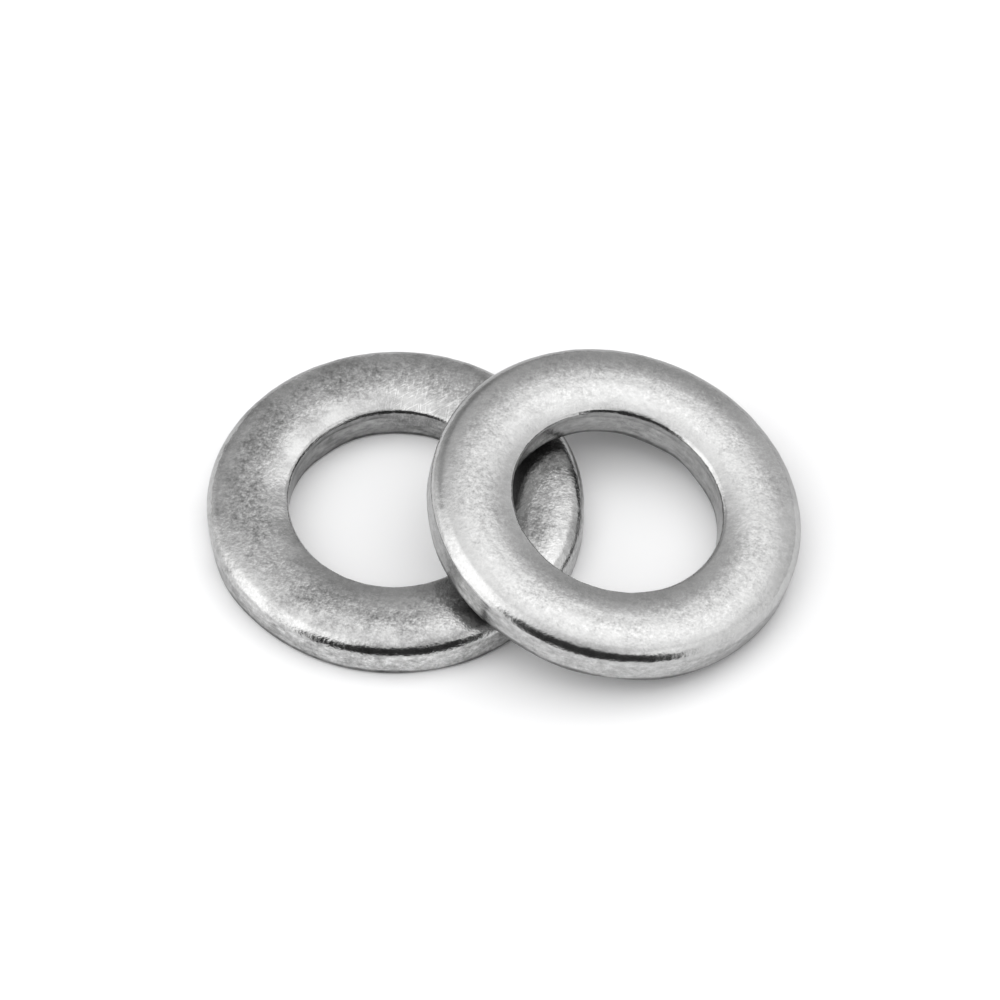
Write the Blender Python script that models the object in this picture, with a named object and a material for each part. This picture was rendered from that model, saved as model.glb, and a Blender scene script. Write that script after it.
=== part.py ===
"""A pair of plain steel washers: one lies flat and the other leans on its rim.

The line between the two centres runs along X, and the second washer leans down towards +X.
"""

import math

import bmesh
import bpy
import numpy as np

# The washer, in metres. Both are punched to the same size.
OUTER_DIAMETER = 0.0118
HOLE_DIAMETER = 0.0067
THICKNESS = 0.0014

# The punch drew the upper edges down and tumbling rounded them: the face eases down to a slope, called its
# fall, over a wide band, and a tight corner takes it on to the wall.
RIM_ROUND_WIDTH = 0.00125
RIM_FALL = math.radians(13.5)
RIM_CORNER_RADIUS = 0.00036
HOLE_ROUND_WIDTH = 0.0011
HOLE_FALL = math.radians(15.5)
HOLE_CORNER_RADIUS = 0.00016
MOST_ROUNDED_SHARE = 0.95

# Below the sheared band the metal broke away, so both walls fall back a little to their feet.
BREAK_HEIGHT = 0.0005
BREAK_DRAFT = 0.00003
FOOT_RADIUS = 0.00012

# How the second washer lies: its disc covers the first one's by this much, and touches it here.
OVERLAP = 0.00503
SEAT_GAP = 0.0003
STEEPEST_LEAN = math.radians(60)

# How finely the round forms are cut.
SEGMENTS = 96
FALL_STEPS = 4
CORNER_STEPS = 7
FOOT_STEPS = 3
HALVINGS = 40
SHARP_ANGLE = math.radians(40)

STEEL_COLOUR = (0.60, 0.60, 0.595, 1.0)
FLAT_ROUGHNESS = 0.36
LEANING_ROUGHNESS = 0.32


def clear_scene():
    for obj in list(bpy.data.objects):
        bpy.data.objects.remove(obj)


def arc(radius, steepest, gentlest, steps):
    """Points (across, down) of an arc that bends down from a level line, from its steepest slope upwards."""
    slopes = np.linspace(steepest, gentlest, steps + 1)
    return radius * np.stack([np.sin(slopes), 1 - np.cos(slopes)], axis=1)


def rounded_edge(width, fall, corner_radius):
    """Points (in from the wall, down from the face) of an upper edge, from the wall to the face."""
    fall_radius = (width - corner_radius * (1 - math.sin(fall))) / math.sin(fall)
    eased = arc(fall_radius, fall, 0, FALL_STEPS)
    corner = arc(corner_radius, math.pi / 2, fall, CORNER_STEPS)
    corner += eased[0] - corner[-1]
    return np.concatenate([corner, eased[1:]]) * (-1, 1) + (width, 0)


def washer_outline():
    """The closed section of a washer as (radius, height) points, anticlockwise from its underside."""
    rim, bore = OUTER_DIAMETER / 2, HOLE_DIAMETER / 2
    room = MOST_ROUNDED_SHARE * (rim - bore)
    held_back = min(1, room / (RIM_ROUND_WIDTH + HOLE_ROUND_WIDTH))
    rim_edge = rounded_edge(RIM_ROUND_WIDTH * held_back, RIM_FALL, RIM_CORNER_RADIUS)
    hole_edge = rounded_edge(HOLE_ROUND_WIDTH * held_back, HOLE_FALL, HOLE_CORNER_RADIUS)
    foot = (FOOT_RADIUS, 0) + arc(FOOT_RADIUS, math.pi / 2, 0, FOOT_STEPS) * (-1, 1)
    stretches = [
        (rim - BREAK_DRAFT, 0) + foot[::-1] * (-1, 1),
        [(rim, BREAK_HEIGHT)],
        (rim, THICKNESS) - rim_edge,
        (bore, THICKNESS) + hole_edge[::-1] * (1, -1),
        [(bore, BREAK_HEIGHT)],
        (bore + BREAK_DRAFT, 0) + foot,
    ]
    return np.concatenate(stretches)


def washer_mesh(name, outline):
    """The section turned once round Z."""
    bm = bmesh.new()
    corners = [bm.verts.new((radius, 0, height)) for radius, height in outline]
    sides = [bm.edges.new((a, b)) for a, b in zip(corners, corners[1:] + corners[:1])]
    bmesh.ops.spin(
        bm,
        geom=corners + sides,
        cent=(0, 0, 0),
        axis=(0, 0, 1),
        angle=2 * math.pi,
        steps=SEGMENTS,
        use_merge=True,
    )
    bmesh.ops.recalc_face_normals(bm, faces=bm.faces)
    mesh = bpy.data.meshes.new(name)
    bm.to_mesh(mesh)
    bm.free()
    mesh.shade_smooth()
    mesh.set_sharp_from_angle(angle=SHARP_ANGLE)
    return mesh


def foot_depth(outline, lean):
    """How far the lowest corner of a leaning washer lies below the centre of its underside."""
    radius, height = outline.T
    return (radius * math.sin(lean) - height * math.cos(lean)).max()


def outside(points, outline):
    """How far each (radius, height) point lies outside the convex section, negative where inside."""
    sides = np.roll(outline, -1, axis=0) - outline
    outward = np.stack([sides[:, 1], -sides[:, 0]], axis=1)
    outward /= np.linalg.norm(outward, axis=1)[:, None]
    return ((points[:, None] - outline) * outward).sum(axis=2).max(axis=1)


def space_between(outline, spacing, lean):
    """The least space between the flat washer and the other one, leaning with its foot on the ground."""
    turns = np.linspace(0, 2 * math.pi, SEGMENTS, endpoint=False)[:, None]
    radius, height = outline.T
    along = (radius * np.cos(turns) - spacing).ravel()
    across = (radius * np.sin(turns)).ravel()
    above = np.tile(height - foot_depth(outline, lean), SEGMENTS)
    own_along = along * math.cos(lean) - above * math.sin(lean)
    own_above = along * math.sin(lean) + above * math.cos(lean)
    points = np.stack([np.hypot(own_along, across), own_above], axis=1)
    return outside(points, outline).min()


def settled_lean(outline, spacing):
    """The lean at which the second washer comes to rest on the first, found by halving."""
    low, high = 0.0, STEEPEST_LEAN
    for _ in range(HALVINGS):
        middle = (low + high) / 2
        if space_between(outline, spacing, middle) < SEAT_GAP:
            low = middle
        else:
            high = middle
    return high


def steel(name, roughness):
    material = bpy.data.materials.new(name)
    material.use_nodes = True
    shader = material.node_tree.nodes["Principled BSDF"]
    shader.inputs["Base Color"].default_value = STEEL_COLOUR
    shader.inputs["Metallic"].default_value = 1.0
    shader.inputs["Roughness"].default_value = roughness
    return material


def add_washer(name, outline, roughness, pair):
    washer = bpy.data.objects.new(name, washer_mesh(name, outline))
    washer.data.materials.append(steel(name + "_steel", roughness))
    washer.parent = pair
    bpy.context.scene.collection.objects.link(washer)
    return washer


def main():
    clear_scene()
    outline = washer_outline()
    spacing = OUTER_DIAMETER - OVERLAP
    lean = settled_lean(outline, spacing)

    radius, height = outline.T
    far_left = -radius.max()
    far_right = spacing + (radius * math.cos(lean) + height * math.sin(lean)).max()
    pair = bpy.data.objects.new("washer_pair", None)
    pair.location.x = -(far_left + far_right) / 2
    bpy.context.scene.collection.objects.link(pair)

    add_washer("flat_washer", outline, FLAT_ROUGHNESS, pair)
    leaning = add_washer("leaning_washer", outline, LEANING_ROUGHNESS, pair)
    leaning.location = (spacing, 0, foot_depth(outline, lean))
    leaning.rotation_euler.y = lean


main()
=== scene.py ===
"""The looks of two punched and tumbled steel washers: one lies flat and the other leans on its rim.

Every size of the washers is measured on the frame. Lengths are in metres, and names in _MM in millimetres.
"""

import math

import bpy
import numpy as np
from mathutils import Matrix, Vector, noise


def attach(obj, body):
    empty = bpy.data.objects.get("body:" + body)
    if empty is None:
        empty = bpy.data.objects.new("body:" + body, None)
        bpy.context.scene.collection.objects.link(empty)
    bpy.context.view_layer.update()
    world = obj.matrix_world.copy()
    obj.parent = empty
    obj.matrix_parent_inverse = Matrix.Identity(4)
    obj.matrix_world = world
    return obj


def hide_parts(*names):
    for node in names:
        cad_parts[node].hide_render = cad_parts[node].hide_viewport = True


MM = 0.001

# The camera: it looks down on the pair from the side of -Y, a little from the leaning washer's end.
CAMERA_AZIMUTH = math.radians(7.6986)
CAMERA_ELEVATION = math.radians(54.143)
CAMERA_DISTANCE = 0.3707
CAMERA_TARGET = Vector((-0.0002905, 0.0012558, 0))
LENS_MM = 424.9
NEAREST_SEEN = 0.001

# How finely the skin of a washer is cut: round the axis, and along each stretch of the section.
AROUND = 660
UNDERSIDE_STEPS = 6
FOOT_STEPS = 4
BREAK_STEPS = 7
SHEAR_STEPS = 14
CORNER_STEPS = 20
FALL_STEPS = 25
LAND_STEPS = 5

# Two corners of a solid lie on the same ring when they are closer than this.
RING_SPREAD = 3e-6

# The slope to which each upper edge falls before its corner begins.
RIM_FALL = math.radians(13.5)
HOLE_FALL = math.radians(15.5)

# The corner ends at this slope, in a faint ridge where the sheared wall begins.
RIDGE_SLOPE = math.radians(70)

# The floor, and the little light of its own that the camera and the metal see in it.
FLOOR_HALF_WIDTH = 1.5
FLOOR_COLOUR = (0.96, 0.96, 0.965, 1.0)
FLOOR_LIFT = 0.05

# The studio, where a level of 1 is white. An edge gives the two angles, in degrees, between which one part
# passes into another. A level goes from its third number to its fourth between its two angles.
WHITE = (1.0, 1.0, 1.0, 1.0)
CEILING_LEVEL = (-20, 40, 0.61, 0.8)
RIGHT_PANEL_EDGE = (24, 34)
RIGHT_PANEL_LEVEL = (100, 140, 1.15, 0.88)
LEFT_PANEL_EDGE = (-32, -68)
LEFT_PANEL_LEVEL = (80, 175, 1.85, 0.95)
BACK_LEFT_EDGE = (-45, -20)
BACK_RIGHT_EDGE = (45, 20)
BACK_LOWER_EDGE = (132, 150)
BACK_LEVEL = (150, 180, 0.48, 0.7)
FRONT_LEFT_EDGE = (-48, -34)
FRONT_RIGHT_EDGE = (52, 36)
BRIGHT_FRONT_EDGE = (98, 80)
BRIGHT_FRONT_GAIN = 0.3
DARK_FRONT_EDGE = (57, 42)
DARKEST_LEVEL = 0.04

# Two softboxes overhead: soft ellipses on a level plane at a height of 1, turned by the same angle. For this
# plane a direction near the horizon counts as rising by at least the lowest rise.
SOFTBOX_LEVEL = 1.9
SOFTBOX_TURN = math.radians(29)
LEFT_SOFTBOX = {"centre": (-1.41, -0.52), "radii": (2.23, 0.96), "inner": 0.4}
RIGHT_SOFTBOX = {"centre": (0.42, 0.41), "radii": (0.72, 0.57), "inner": 0.1}
LOWEST_RISE = 0.05

# The matt share of the steel evens its tones out, and this much more contrast in the studio makes up for it.
STUDIO_CONTRAST = 1.22
STUDIO_DROP = 0.21

# The sheared walls waver by this much at their feet, in waves about this long.
WAVER_DEPTH = 0.06 * MM
WAVER_LENGTH = 1.6 * MM

# The pressed relief: how deep each kind is, and the size of its lumps, or their size along each axis.
GRAIN = (0.001 * MM, 0.16 * MM)
DIMPLES = (0.003 * MM, 0.6 * MM)
CORNER_NICKS = (0.003 * MM, 0.11 * MM)
CORNER_WANDER = (0.008 * MM, 0.45 * MM)
WALL_BANDS = (0.004 * MM, (1.2 * MM, 1.2 * MM, 0.07 * MM))
BORE_STREAKS = (0.003 * MM, (0.1 * MM, 0.1 * MM, 0.8 * MM))
TORN_LUMPS = (0.006 * MM, 0.18 * MM)

# Each seed moves the noise of the relief by this much along each axis, in lumps.
SEED_SHIFT = (17.3, 5.9, 11.1)

# Steel darkens a little towards a grazing view, and its blue is a little weaker than its red and green.
EDGE_TINT = (0.8, 0.8, 0.8, 1.0)
BLUE_SHARE = 0.995

# How many lumps of each kind of noise fit in a metre.
FINE_SCALE = 26000.0
GRAIN_SCALE = 12000.0
MOTTLE_SCALE = 5000.0
BLOTCH_SCALE = 2800.0
PATCH_SCALE = 900.0
BLOTCH_STRETCH = (1.0, 1.0, 2.2)

# The finest noise counts for less than the others, in the tone and in the relief that the light shows.
FINE_IN_TONE = 0.7
FINE_IN_RELIEF = 0.4

# While the noise of the patches goes from the first number to the second, the strength of the speckle goes
# from the third to the fourth. The patches are darker too, up to this edge of their noise.
PATCH_SPECKLE = (-0.12, 0.12, 1.5, 0.75)
PATCH_EDGE = (-0.15, 0.1)

# How much the roughness varies with the mottle, and how much rougher the sheared walls are.
GLOSS_MOTTLE = 0.06
SHEARED_ROUGHNESS = 0.06

# Where each part of a washer starts or ends, by how far the skin faces up, or down in the names with BELOW: 1
# is level and 0 is upright. It comes in or goes out smoothly between the two values.
WALL_END = (0.15, 0.6)
WALL_END_BELOW = (0.15, 0.9)
TOP_START = (0.1, 0.5)
CORNER_START = (0.15, 0.4)
CORNER_END = (0.85, 0.96)
NICKS_END = (0.8, 0.95)
WORN_END = (0.975, 0.998)
MATT_START = (0.88, 0.96)
PAINTED_UNDERSIDE_SHADE_START = (0.5, 0.95)

# The same across the ring, as shares of half its width: outwards from the bore's wall.
BORE_END = (0.0, 0.3)
HOLE_POLISH_END = (0.3, 0.9)

# The same to both sides of the ring's middle.
WAVER_START = (0.5, 1.0)
TORN_START = (0.86, 0.92)

# The torn lumps go out round the height where the walls break back, as shares of it.
TORN_LUMPS_END = (0.8, 1.2)

# The same round the axis: the share of the radius that lies along +Y, and along +X.
FAR_SIDE_START = (0.1, 0.6)
COVERED_SIDE_START = (0.3, 0.7)

# What each vertex keeps: its place on its own washer, whose axis is Z, and how each finish shows there. The
# tumbled faces are partly matt. The tight corners and the sheared walls aren't, and the flat washer's covered
# side is less so.
OWN_PLACE = "own_place"
# The shade holds real marks and also painted shade: at the feet of the walls, in the bores, on the far corner
# and on the underside.
TONE_AND_PAINTED_SHADE = "shade"
SPECKLE = "speckle"
BUMPS = "bumps"
SHEARED = "sheared"
MATT = "matt"

# The feet of the walls are darker up to about this height, where it has faded out: partly the duller torn
# metal there, and partly painted shade where they meet what they stand on. The fade starts at a share of the
# height, and the height varies by a share of itself in waves this long.
TORN_HEIGHT = 0.26 * MM
TORN_FADE_START = 0.6
TORN_UNEVEN = 0.7
TORN_WAVE = 1.5 * MM
TORN_AND_CONTACT_SHADE = 0.36

# A scar runs along stretches of the bore at about this depth below its top, which varies in the same way. The
# metal above it is a duller lip. The stretches are about this long, and noise above this edge picks them.
SCAR_DEPTH = 0.17 * MM
SCAR_UNEVEN = 0.5
SCAR_WAVE = 2.2 * MM
SCAR_WIDTH = 0.03 * MM
SCAR_STRETCH = 1.3 * MM
SCAR_STRETCH_EDGE = (-0.2, 0.2)
SCAR_SHADE = 0.3
LIP_SHADE = 0.7

# The rim's corner is darker on the side of +Y: painted shade, which dims the floor's reflection there.
FAR_CORNER_PAINTED_SHADE = 0.7

# The underside is darker: painted shade, which deepens the shadow between the washers where one overhangs the
# other. Its outermost band is left out, and that band ends between these distances from the rim.
UNDERSIDE_PAINTED_SHADE = 0.2
UNSHADED_BAND_END = (0.2 * MM, 0.5 * MM)

# How strong the speckle is on the worn edges and on the sheared walls, and how strong the grain's relief is
# on the corners and on the sheared walls.
WORN_SPECKLE = 0.5
SHEARED_SPECKLE = 0.7
CORNER_BUMPS = 1.5
SHEARED_BUMPS = 0.5

# Fine scratches cross each other at this angle, and fade out between these distances from one spot.
SCRATCH_TURN = math.radians(52)
SCRATCH_STRETCH = (1.0, 0.08, 0.3)
SCRATCH_SCALE = 30000.0
SCRATCH_EDGE = (0.08, 0.26)
SCRATCH_REACH = (0.8 * MM, 2.0 * MM)


def back_to_camera():
    """The direction from the target to the camera."""
    level = math.cos(CAMERA_ELEVATION)
    return Vector(
        (
            math.sin(CAMERA_AZIMUTH) * level,
            -math.cos(CAMERA_AZIMUTH) * level,
            math.sin(CAMERA_ELEVATION),
        )
    )


def add_camera():
    data = bpy.data.cameras.new("camera")
    data.lens = LENS_MM
    data.clip_start = NEAREST_SEEN
    camera = bpy.data.objects.new("camera", data)
    camera.location = CAMERA_TARGET + back_to_camera() * CAMERA_DISTANCE
    camera.rotation_euler = back_to_camera().to_track_quat("Z", "Y").to_euler()
    bpy.context.scene.collection.objects.link(camera)
    bpy.context.scene.camera = camera


class Nodes:
    """Adds nodes to one tree. A plain value is set on its socket, and another socket is linked to it."""

    def __init__(self, tree):
        self.tree = tree

    def add(self, kind, **settings):
        node = self.tree.nodes.new(kind)
        for name, value in settings.items():
            setattr(node, name, value)
        return node

    def feed(self, socket, value):
        if isinstance(value, bpy.types.NodeSocket):
            self.tree.links.new(value, socket)
        else:
            socket.default_value = value

    def math(self, operation, *values):
        node = self.add("ShaderNodeMath", operation=operation)
        for socket, value in zip(node.inputs, values):
            self.feed(socket, value)
        return node.outputs[0]

    def between(self, value, start, end, low=0.0, high=1.0):
        """Goes smoothly from low to high while the value goes from start to end."""
        node = self.add("ShaderNodeMapRange", interpolation_type="SMOOTHSTEP")
        for name, given in (
            ("Value", value),
            ("From Min", start),
            ("From Max", end),
            ("To Min", low),
            ("To Max", high),
        ):
            self.feed(node.inputs[name], given)
        return node.outputs["Result"]

    def blend(self, factor, low, high):
        node = self.add("ShaderNodeMix", data_type="FLOAT")
        self.feed(node.inputs["Factor"], factor)
        self.feed(node.inputs["A"], low)
        self.feed(node.inputs["B"], high)
        return node.outputs["Result"]

    def noise(self, place, scale, detail=2.0, roughness=0.5):
        """Noise about zero, whose lumps are about 1 / scale across."""
        node = self.add("ShaderNodeTexNoise")
        self.feed(node.inputs["Vector"], place)
        node.inputs["Scale"].default_value = scale
        node.inputs["Detail"].default_value = detail
        node.inputs["Roughness"].default_value = roughness
        return self.math("SUBTRACT", node.outputs["Fac"], 0.5)

    def stretched(self, place, share):
        """The place with each axis times its share, so that noise on it is drawn out along the small ones."""
        node = self.add("ShaderNodeVectorMath", operation="MULTIPLY")
        self.feed(node.inputs[0], place)
        node.inputs[1].default_value = share
        return node.outputs[0]

    def scratches(self, place, spot, strength):
        """About 1, and lighter along fine scratches that cross each other round one spot."""
        turned = self.add("ShaderNodeVectorRotate", rotation_type="Z_AXIS")
        self.feed(turned.inputs["Vector"], place)
        turned.inputs["Angle"].default_value = SCRATCH_TURN
        along = self.noise(self.stretched(place, SCRATCH_STRETCH), SCRATCH_SCALE, 0.0)
        across = self.noise(self.stretched(turned.outputs[0], SCRATCH_STRETCH), SCRATCH_SCALE, 0.0)
        lines = self.math("MAXIMUM", *[self.between(found, *SCRATCH_EDGE) for found in (along, across)])
        apart = self.add("ShaderNodeVectorMath", operation="DISTANCE")
        self.feed(apart.inputs[0], place)
        apart.inputs[1].default_value = spot
        where = self.between(apart.outputs["Value"], *reversed(SCRATCH_REACH))
        return self.math("MULTIPLY_ADD", self.math("MULTIPLY", lines, where), strength, 1.0)

    def ellipse(self, across, along, turn, centre, radii, inner):
        """1 inside a soft ellipse and 0 outside it. It fades from the inner share of its radii outwards."""
        across = self.math("SUBTRACT", across, centre[0])
        along = self.math("SUBTRACT", along, centre[1])
        cosine, sine = math.cos(turn), math.sin(turn)
        u = self.math("ADD", self.math("MULTIPLY", across, cosine), self.math("MULTIPLY", along, sine))
        v = self.math("SUBTRACT", self.math("MULTIPLY", along, cosine), self.math("MULTIPLY", across, sine))
        u = self.math("DIVIDE", u, radii[0])
        v = self.math("DIVIDE", v, radii[1])
        reach = self.math("SQRT", self.math("ADD", self.math("POWER", u, 2.0), self.math("POWER", v, 2.0)))
        return self.between(reach, 1.0, inner)


def light_studio():
    """A pale room as metal sees it: two softboxes overhead, a white panel at the left, a greyer one at the
    right, a dull back and a dark front.

    over is the angle of a direction from the camera's side of the horizon across the top, and side is its
    angle to the right, both in degrees.
    """
    world = bpy.data.worlds.new("studio")
    bpy.context.scene.world = world
    world.use_nodes = True
    world.node_tree.nodes.clear()
    n = Nodes(world.node_tree)
    turned = n.add("ShaderNodeVectorRotate", rotation_type="Z_AXIS")
    n.feed(turned.inputs["Vector"], n.add("ShaderNodeTexCoord").outputs["Generated"])
    n.feed(turned.inputs["Angle"], -CAMERA_AZIMUTH)
    right, away, up = n.add("ShaderNodeSeparateXYZ").outputs
    n.feed(right.node.inputs[0], turned.outputs[0])
    over = n.math("DEGREES", n.math("ARCTAN2", up, n.math("MULTIPLY", away, -1.0)))
    side = n.math("DEGREES", n.math("ARCSINE", right))

    level = n.between(side, *CEILING_LEVEL)
    level = n.blend(n.between(side, *RIGHT_PANEL_EDGE), level, n.between(over, *RIGHT_PANEL_LEVEL))
    level = n.blend(n.between(side, *LEFT_PANEL_EDGE), level, n.between(over, *LEFT_PANEL_LEVEL))

    middle = n.math("MULTIPLY", n.between(side, *BACK_LEFT_EDGE), n.between(side, *BACK_RIGHT_EDGE))
    back = n.math("MULTIPLY", middle, n.between(over, *BACK_LOWER_EDGE))
    level = n.blend(back, level, n.between(over, *BACK_LEVEL))
    front = n.math("MULTIPLY", n.between(side, *FRONT_LEFT_EDGE), n.between(side, *FRONT_RIGHT_EDGE))
    brighter = n.math("MULTIPLY", front, n.between(over, *BRIGHT_FRONT_EDGE))
    level = n.math("MULTIPLY", level, n.math("MULTIPLY_ADD", brighter, BRIGHT_FRONT_GAIN, 1.0))
    level = n.blend(n.math("MULTIPLY", front, n.between(over, *DARK_FRONT_EDGE)), level, DARKEST_LEVEL)

    height = n.math("MAXIMUM", up, LOWEST_RISE)
    across = n.math("DIVIDE", right, height)
    along = n.math("DIVIDE", away, height)
    for softbox in (LEFT_SOFTBOX, RIGHT_SOFTBOX):
        level = n.blend(n.ellipse(across, along, SOFTBOX_TURN, **softbox), level, SOFTBOX_LEVEL)

    level = n.math("MULTIPLY_ADD", level, STUDIO_CONTRAST, -STUDIO_DROP)
    level = n.math("MAXIMUM", level, DARKEST_LEVEL)
    level = n.blend(n.add("ShaderNodeLightPath").outputs["Is Camera Ray"], level, 1.0)
    glow = n.add("ShaderNodeBackground")
    glow.inputs["Color"].default_value = WHITE
    n.feed(glow.inputs["Strength"], level)
    n.feed(n.add("ShaderNodeOutputWorld").inputs["Surface"], glow.outputs[0])


def add_floor():
    """A white sheet. The camera and the metal see it a little lighter than its own shade."""
    material = bpy.data.materials.new("white_floor")
    material.use_nodes = True
    material.node_tree.nodes.clear()
    n = Nodes(material.node_tree)
    sheet = n.add("ShaderNodeBsdfDiffuse")
    sheet.inputs["Color"].default_value = FLOOR_COLOUR
    path = n.add("ShaderNodeLightPath")
    seen = n.math("MAXIMUM", path.outputs["Is Camera Ray"], path.outputs["Is Glossy Ray"])
    seen = n.math("MAXIMUM", seen, path.outputs["Is Transmission Ray"])
    glow = n.add("ShaderNodeEmission")
    n.feed(glow.inputs["Strength"], n.math("MULTIPLY", seen, FLOOR_LIFT))
    both = n.add("ShaderNodeAddShader")
    n.feed(both.inputs[0], sheet.outputs[0])
    n.feed(both.inputs[1], glow.outputs[0])
    n.feed(n.add("ShaderNodeOutputMaterial").inputs["Surface"], both.outputs[0])

    reach = FLOOR_HALF_WIDTH
    mesh = bpy.data.meshes.new("floor")
    corners = [(-reach, -reach, 0), (reach, -reach, 0), (reach, reach, 0), (-reach, reach, 0)]
    mesh.from_pydata(corners, [], [(0, 1, 2, 3)])
    mesh.materials.append(material)
    floor = bpy.data.objects.new("floor", mesh)
    bpy.context.scene.collection.objects.link(floor)


def corners_of(node):
    data = node.data
    places = np.empty(len(data.vertices) * 3)
    data.vertices.foreach_get("co", places)
    return places.reshape(-1, 3)


def resting_place(node):
    """The matrix from a washer's own axes to the frame, with its origin at the centre of its underside.

    A round body spreads least along its own axis.
    """
    corners = corners_of(node)
    middle = corners.mean(axis=0)
    axis = np.linalg.svd(corners - middle, full_matrices=False)[2][2]
    axis *= math.copysign(1, axis[2])
    heights = (corners - middle) @ axis
    foot = Vector(middle + axis * heights.min())
    up = Vector(axis)
    along = Vector((0, 1, 0)).cross(up).normalized()
    turn = Matrix((along, up.cross(along), up)).transposed()
    return Matrix.Translation(foot) @ turn.to_4x4()


class Section:
    """The sizes of a washer's section, measured on its solid."""

    def __init__(self, node):
        own = np.array(resting_place(node).inverted())
        corners = corners_of(node) @ own[:3, :3].T + own[:3, 3]
        radius = np.hypot(corners[:, 0], corners[:, 1])
        height = corners[:, 2]
        self.rim, self.bore = radius.max(), radius.min()
        self.middle = (self.rim + self.bore) / 2
        self.reach = (self.rim - self.bore) / 2
        self.thickness = height.max()
        self.land_end = radius[height > self.thickness - RING_SPREAD].max()
        self.land_start = radius[height > self.thickness - RING_SPREAD].min()
        self.rim_top = height[radius > self.rim - RING_SPREAD].max()
        self.bore_top = height[radius < self.bore + RING_SPREAD].max()
        self.break_height = height[radius > self.rim - RING_SPREAD].min()
        self.foot_end = radius[height < RING_SPREAD].max()
        self.foot_start = radius[height < RING_SPREAD].min()
        low = height < self.break_height - RING_SPREAD
        self.foot_rim, self.foot_bore = radius[low].max(), radius[low].min()
        self.foot_top = height[low].max()

    def outline(self):
        """(radius, height) points round the closed section, anticlockwise from the underside's inner end."""
        top = self.thickness
        rim_edge = rounded_edge(self.rim - self.land_end, top - self.rim_top, RIM_FALL)
        hole_edge = rounded_edge(self.land_start - self.bore, top - self.bore_top, HOLE_FALL)
        foot_width = self.foot_rim - self.foot_end
        foot_turn = np.linspace(0, math.pi / 2, FOOT_STEPS, endpoint=False)
        foot, inner_foot = [
            np.stack([foot_width * np.sin(turn), self.foot_top * (1 - np.cos(turn))], axis=1)
            for turn in (foot_turn, math.pi / 2 - foot_turn)
        ]
        stretches = [
            straight((self.foot_start, 0), (self.foot_end, 0), UNDERSIDE_STEPS),
            (self.foot_end, 0) + foot,
            straight((self.foot_rim, self.foot_top), (self.rim, self.break_height), BREAK_STEPS),
            straight((self.rim, self.break_height), (self.rim, self.rim_top), SHEAR_STEPS),
            ((self.land_end, top) + rim_edge * (1, -1))[:0:-1],
            straight((self.land_end, top), (self.land_start, top), LAND_STEPS),
            ((self.land_start, top) - hole_edge)[:-1],
            straight((self.bore, self.bore_top), (self.bore, self.break_height), SHEAR_STEPS),
            straight((self.bore, self.break_height), (self.foot_bore, self.foot_top), BREAK_STEPS),
            (self.foot_start, 0) + inner_foot * (-1, 1),
        ]
        return np.concatenate(stretches)


def straight(start, end, steps):
    share = np.linspace(0, 1, steps, endpoint=False)[:, None]
    return np.array(start) * (1 - share) + np.array(end) * share


def rounded_edge(width, drop, fall):
    """Points (out from the land, down from the face) of an upper edge, from the land to the wall.

    A wide arc bends down to the fall, and a tight corner arc turns on to the wall. The two radii follow from
    the edge's width and drop.
    """
    end = RIDGE_SLOPE
    sides = [
        [math.sin(fall), math.sin(end) - math.sin(fall)],
        [1 - math.cos(fall), math.cos(fall) - math.cos(end)],
    ]
    wide, tight = np.linalg.solve(sides, [width, drop])
    slope = np.linspace(0, fall, FALL_STEPS, endpoint=False)
    eased = wide * np.stack([np.sin(slope), 1 - np.cos(slope)], axis=1)
    slope = np.linspace(fall, end, CORNER_STEPS)
    corner = tight * np.stack([np.sin(slope) - math.sin(fall), math.cos(fall) - np.cos(slope)], axis=1)
    corner += wide * np.array([math.sin(fall), 1 - math.cos(fall)])
    return np.concatenate([eased, corner])


def outward_of(outline):
    """The outward direction at each point of the closed outline."""
    along = np.roll(outline, -1, axis=0) - np.roll(outline, 1, axis=0)
    outward = np.stack([along[:, 1], -along[:, 0]], axis=1)
    return outward / np.linalg.norm(outward, axis=1)[:, None]


def ripple(places, size, seed):
    """Smooth noise of about -1 to 1, whose lumps have about this size, or one size along each axis."""
    shift = np.outer(seed, SEED_SHIFT)
    scaled = places / np.asarray(size) + shift
    return np.array([noise.noise(Vector(place)) for place in scaled])


def pressed(kind, places, seed):
    depth, size = kind
    return depth * ripple(places, size, seed)


def skin_mesh(name, node, seed, look):
    """The section turned round the axis, with the fine relief of punched and tumbled steel pressed in."""
    section = Section(node)
    outline = section.outline()
    outward = outward_of(outline)
    angles = np.linspace(0, 2 * math.pi, AROUND, endpoint=False)
    count = len(outline)

    def turned(radius, height):
        flat = np.outer(np.cos(angles), radius), np.outer(np.sin(angles), radius)
        return np.stack([*flat, np.broadcast_to(height, (AROUND, count))], axis=2).reshape(-1, 3)

    places = turned(outline[:, 0], outline[:, 1])
    directions = turned(outward[:, 0], outward[:, 1])
    relief = pressed_relief(places, directions, section, seed)
    places = places + directions * relief[:, None] + uneven_foot(places, section, seed)

    index = np.arange(AROUND * count).reshape(AROUND, count)
    far = np.roll(index, -1, axis=0)
    faces = np.stack([index, far, np.roll(far, -1, axis=1), np.roll(index, -1, axis=1)], axis=2)

    pose = np.array(resting_place(node))
    mesh = bpy.data.meshes.new(name)
    mesh.from_pydata((places @ pose[:3, :3].T + pose[:3, 3]).tolist(), [], faces.reshape(-1, 4).tolist())
    mesh.attributes.new(OWN_PLACE, "FLOAT_VECTOR", "POINT").data.foreach_set("vector", places.ravel())
    for finish, strength in finishes(places, directions, section, seed, look).items():
        mesh.attributes.new(finish, "FLOAT", "POINT").data.foreach_set("value", strength)
    mesh.shade_smooth()
    return mesh


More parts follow.
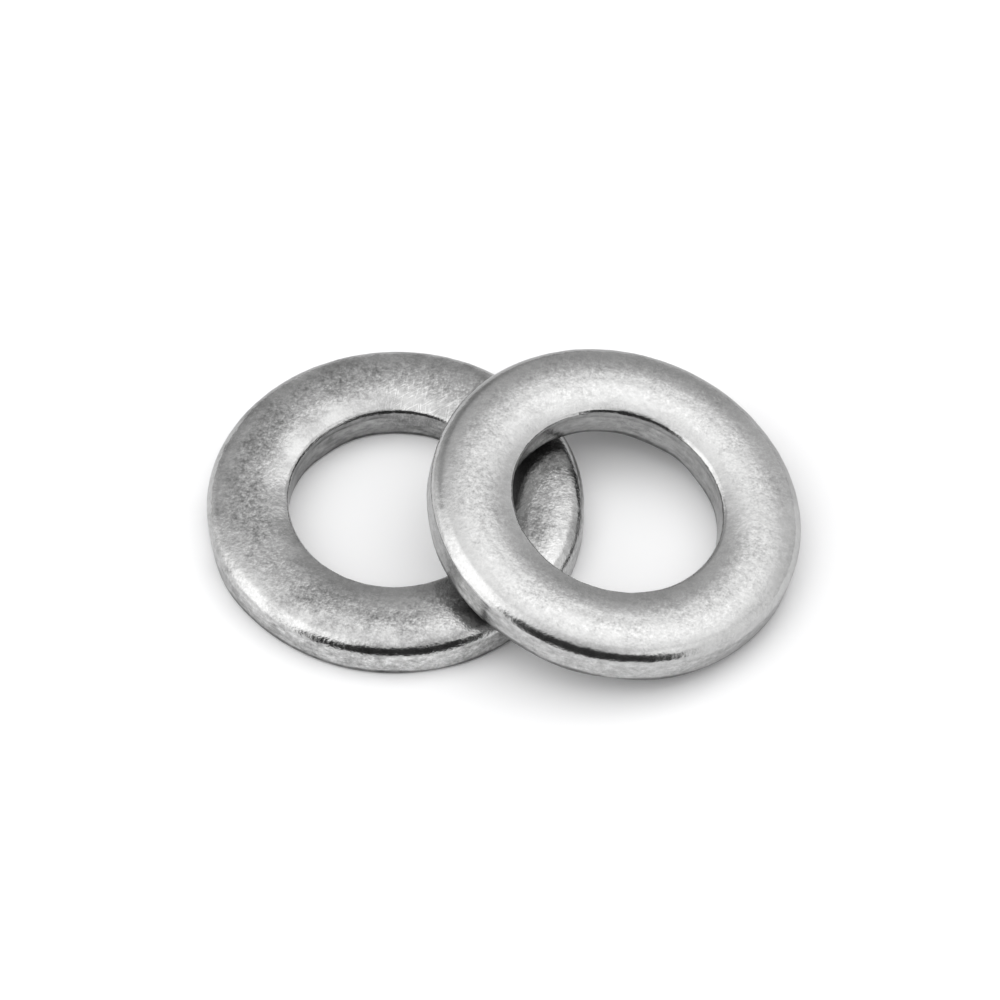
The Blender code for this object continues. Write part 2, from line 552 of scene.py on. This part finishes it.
def smooth_step(value, start, end):
    share = np.clip((value - start) / (end - start), 0, 1)
    return share * share * (3 - 2 * share)


def within(part, strength):
    """The strength inside a part, whose share is 1 there, and 1 outside it, where its share is 0."""
    return 1 - (1 - strength) * part


def on_wall(directions):
    """1 where the skin faces sideways, as the sheared walls do, and 0 where it faces up or down."""
    facing_up = directions[:, 2]
    return (1 - smooth_step(facing_up, *WALL_END)) * (1 - smooth_step(-facing_up, *WALL_END_BELOW))


def pressed_relief(places, directions, section, seed):
    """How far each point of the skin stands out, in metres."""
    facing_up = directions[:, 2]
    radius = np.hypot(places[:, 0], places[:, 1])
    height = places[:, 2]
    on_top = smooth_step(facing_up, *TOP_START)
    in_bore = radius < section.middle

    on_corner = smooth_step(facing_up, *CORNER_START) * (1 - smooth_step(facing_up, *NICKS_END))
    relief = on_top * (pressed(GRAIN, places, seed) + pressed(DIMPLES, places, seed + 2))
    relief += on_corner * (pressed(CORNER_NICKS, places, seed + 1) + pressed(CORNER_WANDER, places, seed + 6))

    bands = pressed(WALL_BANDS, places, seed + 3)
    streaks = pressed(BORE_STREAKS, places, seed + 4)
    low = 1 - smooth_step(height / section.break_height, *TORN_LUMPS_END)
    wall = np.where(in_bore, streaks, bands) + low * pressed(TORN_LUMPS, places, seed + 5)
    return relief + on_wall(directions) * wall


def finishes(places, directions, section, seed, look):
    """How strongly each finish shows at each point of the skin: 1 is its plain strength."""
    facing_up = directions[:, 2]
    radius = np.hypot(places[:, 0], places[:, 1])
    height = places[:, 2]
    sideways = np.abs(radius - section.middle) / section.reach
    from_bore = (radius - section.bore) / section.reach
    in_bore = 1 - smooth_step(from_bore, *BORE_END)
    by_hole = 1 - smooth_step(from_bore, *HOLE_POLISH_END)
    sheared = on_wall(directions)
    worn = (1 - smooth_step(facing_up, *WORN_END)) * (1 - sheared)
    below_faces = 1 - smooth_step(facing_up, *CORNER_END)
    corner = smooth_step(facing_up, *CORNER_START) * below_faces
    # Painted shade on the rim's corner, on the side of +Y.
    far_corner_painted_shade = below_faces * (1 - sheared) * (1 - in_bore)
    far_corner_painted_shade *= smooth_step(places[:, 1] / radius, *FAR_SIDE_START)
    covered = smooth_step(places[:, 0] / radius, *COVERED_SIDE_START)

    level = places * (1, 1, 0)
    torn_top = TORN_HEIGHT * (1 + TORN_UNEVEN * ripple(level, TORN_WAVE, seed + 8))
    # The feet of the walls: partly duller torn metal, partly painted shade where they meet what they stand
    # on.
    torn_and_contact_shade = 1 - smooth_step(height, torn_top * TORN_FADE_START, torn_top)
    torn_and_contact_shade *= smooth_step(sideways, *TORN_START)
    scar_height = section.bore_top - SCAR_DEPTH * (1 + SCAR_UNEVEN * ripple(level, SCAR_WAVE, seed + 9))
    scar = 1 - smooth_step(np.abs(height - scar_height), 0, SCAR_WIDTH * 2)
    lip = smooth_step(height, scar_height, scar_height + SCAR_WIDTH)
    scarred = look["scar"] * in_bore * sheared
    scarred *= smooth_step(ripple(level, SCAR_STRETCH, seed + 10), *SCAR_STRETCH_EDGE)
    # Painted shade on the underside, except for its outermost band.
    painted_underside_shade = smooth_step(-facing_up, *PAINTED_UNDERSIDE_SHADE_START)
    painted_underside_shade *= smooth_step(section.rim - radius, *UNSHADED_BAND_END)

    # The shade combines real marks with painted shade at the walls' feet, in the bores, on the far corner and
    # on the underside.
    shade = within(torn_and_contact_shade, TORN_AND_CONTACT_SHADE)
    shade *= within(scar * scarred, SCAR_SHADE)
    shade *= within(lip * scarred, LIP_SHADE)
    # Painted shade in the bores.
    shade *= within(in_bore * sheared, look["bore_painted_shade"])
    shade *= within((1 - in_bore) * sheared, look["wall_shade"])
    shade *= within(far_corner_painted_shade, FAR_CORNER_PAINTED_SHADE)
    shade *= within(painted_underside_shade, UNDERSIDE_PAINTED_SHADE)
    speckle = within(worn, WORN_SPECKLE) * within(sheared, SHEARED_SPECKLE)
    return {
        TONE_AND_PAINTED_SHADE: shade,
        SPECKLE: speckle * (1 - look["hole_polish"] * by_hole),
        BUMPS: within(corner, CORNER_BUMPS) * within(sheared, SHEARED_BUMPS),
        SHEARED: sheared,
        MATT: smooth_step(facing_up, *MATT_START) * within(covered, look["covered_matt"]),
    }


def uneven_foot(places, section, seed):
    """How far the sheared walls waver outwards near their feet, as (x, y, z) offsets."""
    radius = np.hypot(places[:, 0], places[:, 1])
    outward = places * (1, 1, 0) / radius[:, None]
    side = np.sign(radius - section.middle)
    waver = WAVER_DEPTH * ripple(outward, WAVER_LENGTH / section.middle, seed + side * 7)
    share = 1 - smooth_step(places[:, 2], 0, section.rim_top)
    share *= smooth_step(np.abs(radius - section.middle) / section.reach, *WAVER_START)
    return outward * (waver * share * side)[:, None]


def tumbled_steel(name, look):
    """Tumbled stainless steel: fine grain, mottled in shade and gloss, and rougher on the sheared walls."""
    material = bpy.data.materials.new(name)
    material.use_nodes = True
    n = Nodes(material.node_tree)
    shader = material.node_tree.nodes["Principled BSDF"]
    shader.inputs["Specular Tint"].default_value = EDGE_TINT
    place = n.add("ShaderNodeAttribute", attribute_name=OWN_PLACE).outputs["Vector"]
    shade, speckle, bumps, sheared, matt = [
        n.add("ShaderNodeAttribute", attribute_name=finish).outputs["Fac"]
        for finish in (TONE_AND_PAINTED_SHADE, SPECKLE, BUMPS, SHEARED, MATT)
    ]
    n.feed(shader.inputs["Metallic"], n.math("MULTIPLY_ADD", matt, -look["matt"], 1.0))
    fine = n.noise(place, FINE_SCALE, 1.0)
    grain = n.noise(place, GRAIN_SCALE, 1.0)
    mottle = n.noise(place, MOTTLE_SCALE, 1.0)
    patch = n.noise(place, PATCH_SCALE, 3.0)

    mixed = n.math("ADD", n.math("MULTIPLY", fine, FINE_IN_TONE), n.math("ADD", grain, mottle))
    strength = n.math("MULTIPLY", speckle, n.between(patch, *PATCH_SPECKLE))
    tone = n.math("MULTIPLY_ADD", mixed, n.math("MULTIPLY", strength, look["speckle"]), 1.0)
    tone = n.math("MULTIPLY", tone, n.between(patch, *PATCH_EDGE, 1.0 - look["patches"], 1.0))
    blotch = n.math("MULTIPLY", n.noise(n.stretched(place, BLOTCH_STRETCH), BLOTCH_SCALE, 3.0, 0.6), sheared)
    tone = n.math("MULTIPLY", tone, n.math("MULTIPLY_ADD", blotch, look["blotches"], 1.0))
    tone = n.math("MULTIPLY", tone, n.scratches(place, look["scratched_spot"], look["scratches"]))
    # The shade attribute darkens the tone with real marks and with painted shade.
    tone = n.math("MULTIPLY", tone, n.math("MULTIPLY", shade, look["shade"]))
    colour = n.add("ShaderNodeCombineColor")
    n.feed(colour.inputs[0], tone)
    n.feed(colour.inputs[1], tone)
    n.feed(colour.inputs[2], n.math("MULTIPLY", tone, BLUE_SHARE))
    n.feed(shader.inputs["Base Color"], colour.outputs[0])
    gloss = n.math("MULTIPLY_ADD", mottle, GLOSS_MOTTLE, look["roughness"])
    n.feed(shader.inputs["Roughness"], n.math("MULTIPLY_ADD", sheared, SHEARED_ROUGHNESS, gloss))

    height = n.math("ADD", n.math("MULTIPLY", fine, FINE_IN_RELIEF), n.math("ADD", grain, mottle))
    bump = n.add("ShaderNodeBump")
    bump.inputs["Strength"].default_value = 1.0
    bump.inputs["Distance"].default_value = look["grain_depth_mm"] * MM
    n.feed(bump.inputs["Height"], n.math("MULTIPLY", height, bumps))
    n.feed(shader.inputs["Normal"], bump.outputs[0])
    return material


def add_washer(node, seed, look):
    name = node.name + "_skin"
    washer = bpy.data.objects.new(name, skin_mesh(name, node, seed, look))
    washer.data.materials.append(tumbled_steel(name, look))
    bpy.context.scene.collection.objects.link(washer)
    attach(washer, "root")
    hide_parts(node.name)


# How each washer looks. A shade is a factor on the steel's tone, and the rest are the strengths of a finish.
FLAT_LOOK = {
    "shade": 0.482,
    "matt": 0.18,
    "covered_matt": 0.2,
    "speckle": 0.92,
    "patches": 0.24,
    "blotches": 1.7,
    "hole_polish": 0.5,
    "scratches": 0.32,
    "scratched_spot": (0.3 * MM, 3.7 * MM, 1.4 * MM),
    "scar": 1.0,
    # The bore's shade is painted shade in the hole.
    "bore_painted_shade": 0.68,
    "wall_shade": 1.22,
    "roughness": 0.165,
    "grain_depth_mm": 0.005,
}
LEANING_LOOK = {
    "shade": 0.488,
    "matt": 0.2,
    "covered_matt": 1.0,
    "speckle": 0.5,
    "patches": 0.06,
    "blotches": 1.2,
    "hole_polish": 0.2,
    "scratches": 0.1,
    "scratched_spot": (-2.6 * MM, 3.9 * MM, 1.4 * MM),
    "scar": 0.4,
    # The bore's shade is painted shade in the hole.
    "bore_painted_shade": 0.8,
    "wall_shade": 1.04,
    "roughness": 0.175,
    "grain_depth_mm": 0.0026,
}


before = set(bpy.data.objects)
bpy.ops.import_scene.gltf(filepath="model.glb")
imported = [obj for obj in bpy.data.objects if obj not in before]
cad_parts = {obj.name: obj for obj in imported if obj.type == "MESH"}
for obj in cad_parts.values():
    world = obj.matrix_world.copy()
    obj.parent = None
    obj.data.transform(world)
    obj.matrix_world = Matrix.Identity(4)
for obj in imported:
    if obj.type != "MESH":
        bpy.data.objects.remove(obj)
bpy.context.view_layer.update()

add_camera()
bpy.context.scene.view_settings.view_transform = "Standard"
light_studio()
add_floor()
add_washer(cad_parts["flat_washer"], 1, FLAT_LOOK)
add_washer(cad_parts["leaning_washer"], 2, LEANING_LOOK)
